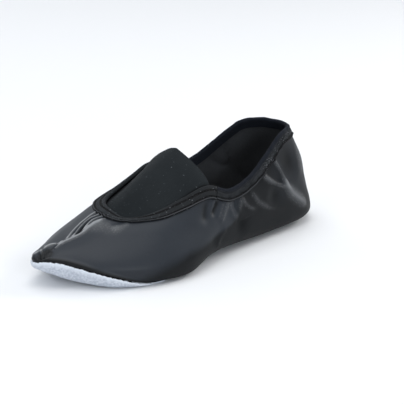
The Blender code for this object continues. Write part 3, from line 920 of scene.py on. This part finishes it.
def stitches(name, turns, width, lift, finish):
    """Row of threads sunk into a tape, the given width below the topline."""
    path = below_topline(turns, np.full_like(turns, width), lift)
    normal = outward(turns, TOP_RISE)
    length = np.concatenate([[0], np.cumsum(np.linalg.norm(np.diff(path, axis=0), axis=-1))])
    places = np.arange(STITCH_PITCH, length[-1] - STITCH_PITCH, STITCH_PITCH)
    bpy.ops.object.select_all(action="DESELECT")
    bpy.ops.mesh.primitive_uv_sphere_add(segments=STITCH_SEGMENTS, ring_count=STITCH_RINGS, radius=0.5)
    thread = bpy.context.object
    copies = []
    for place in places:
        at, before, after, out = (
            np.array([np.interp(place + shift, length, line[:, k]) for k in range(3)])
            for shift, line in ((0, path), (-STITCH_REACH, path), (STITCH_REACH, path), (0, normal))
        )
        to_frame = np.array((-1.0, 1.0, 1.0))
        way = Vector((after - before) * to_frame).normalized()
        up = Vector(out * to_frame)
        beside = up.cross(way).normalized()
        up = way.cross(beside)
        spot = Vector((MIDDLE_ALONG - at[0], at[1] - MIDDLE_ACROSS, at[2]))
        shape = Matrix((way * STITCH_LENGTH, beside * STITCH_THICK, up * STITCH_THICK)).transposed()
        copy = thread.copy()
        copy.data = thread.data.copy()
        bpy.context.collection.objects.link(copy)
        copy.data.transform(Matrix.Scale(MM, 4) @ Matrix.Translation(spot) @ shape.to_4x4())
        copies.append(copy)
    bpy.data.objects.remove(thread)
    for copy in copies:
        copy.select_set(True)
    bpy.context.view_layer.objects.active = copies[0]
    bpy.ops.object.join()
    row = bpy.context.object
    row.name = name
    row.data.name = name
    row.data.materials.append(finish.material)
    bpy.ops.object.shade_smooth()
    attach(row, "root")
    return row


throat = np.linspace(JOIN_TURN + JOIN_GAP, 2 * np.pi - JOIN_TURN - JOIN_GAP, THROAT_COLUMNS)
surface, across = tape_surface(throat, THROAT_TAPE, THROAT_CORD, THROAT_RIPPLE, THROAT_SEED)
throat_tape = shaped_grid("throat_tape", surface, across)
mark(throat_tape, "inset", across + THROAT_TAPE)
webbing = Finish("black_tape", 0.85)
along, across = webbing.pattern()
twill = (along * TAPE_TWILL + across * TAPE_TWILL).wave()
shade = webbing.noise(*TAPE_SHADE)
lint = webbing.noise(*LINT_SPECKS).limited(*TAPE_LINT_SPOTS)
inset = webbing.number("inset")
# Painted highlight on the cord.
cord = inset.within(*CORD_BAND)
# Painted shade along the outer edge, in the stitch groove and in the groove near the top.
groove_shade = inset.limited(*EDGE_SHADE_INSETS) + across.within(*TOP_GROOVE_SHADE_BAND)
tone = shade.between(*TAPE_TONES)
# Painted shade: the near side of the tape is painted darker.
tone = along.limited(*TAPE_NEAR_SHADE_ALONG).between(tone, TAPE_NEAR_SHADE_TONE)
tone = groove_shade.between(tone, TAPE_GROOVE_SHADE_TONE)
tone = cord.between(tone, TAPE_CORD_HIGHLIGHT_TONE)
webbing.set("Base Color", lint.between(tone, TAPE_LINT_TONE))
webbing.relief(twill + shade, *TAPE_RELIEF)
webbing.set("Specular IOR Level", 0.25)
throat_tape.data.materials.append(webbing.material)
thicken(throat_tape, TAPE_THICK)
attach(throat_tape, "root")
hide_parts("throat_binding")
yarn = Finish("black_thread", 0.55)
twist = yarn.noise(*THREAD_TWIST)
yarn.set("Base Color", twist.between(*THREAD_TONES))
yarn.set("Specular IOR Level", 0.15)
tape_face = TAPE_GAP + TAPE_THICK
stitches("throat_stitching", throat, THROAT_TAPE - SEAM_INSET, tape_face - STITCH_SUNK, yarn)
stitches("throat_edge_stitching", throat, TOP_SEAM_BELOW, tape_face - TOP_STITCH_SUNK, yarn)


# Collar tape. A black elastic tape folded over the edge round the heel and sewn on stretched, so that it
# is slightly wrinkled and gathers the leather below it. Its ends butt against the throat tape.
COLLAR_TAPE = 7.5
COLLAR_COLUMNS = 321
COLLAR_CORD = 0.50
COLLAR_RIPPLE = 0.45
COLLAR_SEED = 22
LINT = (
    # turn in degrees, spread and share of the lint on the tape
    (-62.0, 4.0, 1.0), (-52.0, 3.0, 0.6), (-44.0, 3.0, 0.7), (-34.0, 5.0, 0.5), (40.0, 8.0, 0.4),
)
LINT_ABOVE_EDGE = (-7.0, -5.5)
LINT_BELOW_TOP = (-0.5, -2.0)
COLLAR_RIB = 8.0
COLLAR_SHADE = (140.0, 3.0)
COLLAR_FLUFF = (1100.0, 1.0)
COLLAR_FLUFF_SPOTS = (0.58, 0.70)
COLLAR_CORD_ENDS = (62.0, 34.0)
COLLAR_MOTTLE = (0.3, 0.7)
COLLAR_INSIDE_SHADE = (-2.2, 0.4)
COLLAR_EDGE_SHADE_INSETS = (2.5, 2.1)
COLLAR_TONES = ((0.008, 0.0095, 0.011, 1.0), (0.024, 0.026, 0.029, 1.0))
COLLAR_INSIDE_SHADE_TONE = (0.006, 0.008, 0.013, 1.0)
COLLAR_GROOVE_SHADE_TONE = (0.004, 0.004, 0.005, 1.0)
COLLAR_CORD_HIGHLIGHT_TONE = (0.040, 0.043, 0.047, 1.0)
COLLAR_LINT_TONE = (0.25, 0.26, 0.28, 1.0)
collar = np.linspace(-JOIN_TURN, JOIN_TURN, COLLAR_COLUMNS)
surface, across = tape_surface(collar, COLLAR_TAPE, COLLAR_CORD, COLLAR_RIPPLE, COLLAR_SEED)
collar_tape = shaped_grid("collar_tape", surface, across)
mark(collar_tape, "inset", across + COLLAR_TAPE)
clung = sum(share * hump(turn, spread, np.degrees(collar)) for turn, spread, share in LINT)
clung = clung[:, None] * smooth(*LINT_ABOVE_EDGE, across) * smooth(*LINT_BELOW_TOP, across)
mark(collar_tape, "lint", clung)
stretch = Finish("collar_elastic", 0.88)
along, across = stretch.pattern()
rib = (along * COLLAR_RIB).wave()
shade = stretch.noise(*COLLAR_SHADE)
fluff = stretch.noise(*COLLAR_FLUFF).limited(*COLLAR_FLUFF_SPOTS) * stretch.number("lint")
inset = stretch.number("inset")
# Painted highlight on the cord, only at the near front end of the collar.
cord = inset.within(*CORD_BAND) * along.limited(*COLLAR_CORD_ENDS)
tone = shade.limited(*COLLAR_MOTTLE).between(*COLLAR_TONES)
# Painted shade, bluish, over the top of the tape and down its inside.
tone = across.limited(*COLLAR_INSIDE_SHADE).between(tone, COLLAR_INSIDE_SHADE_TONE)
# Painted shade along the outer edge and in the stitch groove.
tone = inset.limited(*COLLAR_EDGE_SHADE_INSETS).between(tone, COLLAR_GROOVE_SHADE_TONE)
tone = cord.between(tone, COLLAR_CORD_HIGHLIGHT_TONE)
stretch.set("Base Color", fluff.between(tone, COLLAR_LINT_TONE))
stretch.relief(rib + shade, *TAPE_RELIEF)
stretch.set("Specular IOR Level", 0.2)
collar_tape.data.materials.append(stretch.material)
thicken(collar_tape, TAPE_THICK)
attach(collar_tape, "root")
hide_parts("collar_binding")
stitches("collar_stitching", collar, COLLAR_TAPE - SEAM_INSET, tape_face - STITCH_SUNK, yarn)


# Stage. A plain pale floor under soft studio light: five softboxes, and a sky that is brightest on the side
# away from the camera. The camera stands at the angle of the picture.
FLOOR_SIZE = 6.0
FLOOR_TONE = (0.80, 0.80, 0.80, 1.0)
SKY_TONES = ((0.12, 0.12, 0.13, 1.0), (0.56, 0.60, 0.66, 1.0))
SKY_BRIGHT_TONE = (0.72, 0.75, 0.79, 1.0)
SKY_BRIGHT_WAY = (0.66, 0.75)
SKY_BRIGHT_FROM = (0.2, 0.9)
bpy.ops.object.select_all(action="DESELECT")
bpy.ops.mesh.primitive_plane_add(size=FLOOR_SIZE, location=(0.0, 0.0, 0.0))
floor = bpy.context.object
floor.name = "floor"
pale = Finish("pale_floor", 0.9)
pale.set("Base Color", FLOOR_TONE)
floor.data.materials.append(pale.material)

world = bpy.data.worlds.new("studio")
world.use_nodes = True
sky = Shade(world.node_tree)
toward = sky.node("ShaderNodeTexCoord", {}, {})
ways = sky.node("ShaderNodeSeparateXYZ", {}, {"Vector": toward}).socket.node.outputs
right, far, height = (Shade(world.node_tree, way) for way in ways)
glow = height.limited(0.0, 1.0).between(*SKY_TONES)
away = SKY_BRIGHT_WAY[0] * right + SKY_BRIGHT_WAY[1] * far
glow = away.limited(*SKY_BRIGHT_FROM).between(glow, SKY_BRIGHT_TONE)
world.node_tree.links.new(glow.socket, world.node_tree.nodes["Background"].inputs["Color"])
bpy.context.scene.world = world
LAMPS = (
    # name, place, size in metres, power, colour
    ("top_softbox", (-0.10, 0.00, 1.30), 1.1, 9.0, (0.98, 0.98, 0.98)),
    ("front_softbox", (-1.20, -0.10, 0.80), 0.8, 3.8, (0.90, 0.95, 1.0)),
    ("back_softbox", (-0.10, 1.30, 0.70), 0.9, 3.5, (0.95, 0.97, 1.0)),
    ("near_softbox", (-0.35, -1.25, 0.52), 0.6, 4.8, (0.90, 0.95, 1.0)),
    ("heel_softbox", (1.20, -0.30, 0.70), 0.45, 7.0, (1.0, 0.99, 0.97)),
)
for name, place, size, power, colour in LAMPS:
    bpy.ops.object.light_add(type="AREA", location=place)
    lamp = bpy.context.object
    lamp.name = name
    lamp.data.size = size
    lamp.data.energy = power
    lamp.data.color = colour
    lamp.rotation_euler = (-Vector(place)).to_track_quat("-Z", "Y").to_euler()

VIEW_AZIMUTH, VIEW_HEIGHT, VIEW_ROLL = np.radians((-41.0, 20.8, 1.6))
VIEW_DISTANCE = 1.0
VIEW_POINT = Vector((-0.0015, 0.0043, 0.030))
IMAGE = 404
SENSOR = 36.0
FOCAL_PIXELS = 1425.0
MIDDLE_PIXEL = (175.5, 206.0)
turned = Euler((np.pi / 2 - VIEW_HEIGHT, 0.0, VIEW_AZIMUTH)).to_matrix()
bpy.ops.object.camera_add()
camera = bpy.context.object
camera.matrix_world = (
    Matrix.Translation(VIEW_POINT + turned @ Vector((0.0, 0.0, VIEW_DISTANCE)))
    @ turned.to_4x4() @ Matrix.Rotation(VIEW_ROLL, 4, "Z")
)
camera.data.sensor_width = SENSOR
camera.data.lens = FOCAL_PIXELS * SENSOR / IMAGE
camera.data.shift_x = (IMAGE / 2 - MIDDLE_PIXEL[0]) / IMAGE
camera.data.shift_y = (MIDDLE_PIXEL[1] - IMAGE / 2) / IMAGE
bpy.context.scene.camera = camera
bpy.context.scene.view_settings.view_transform = "Standard"
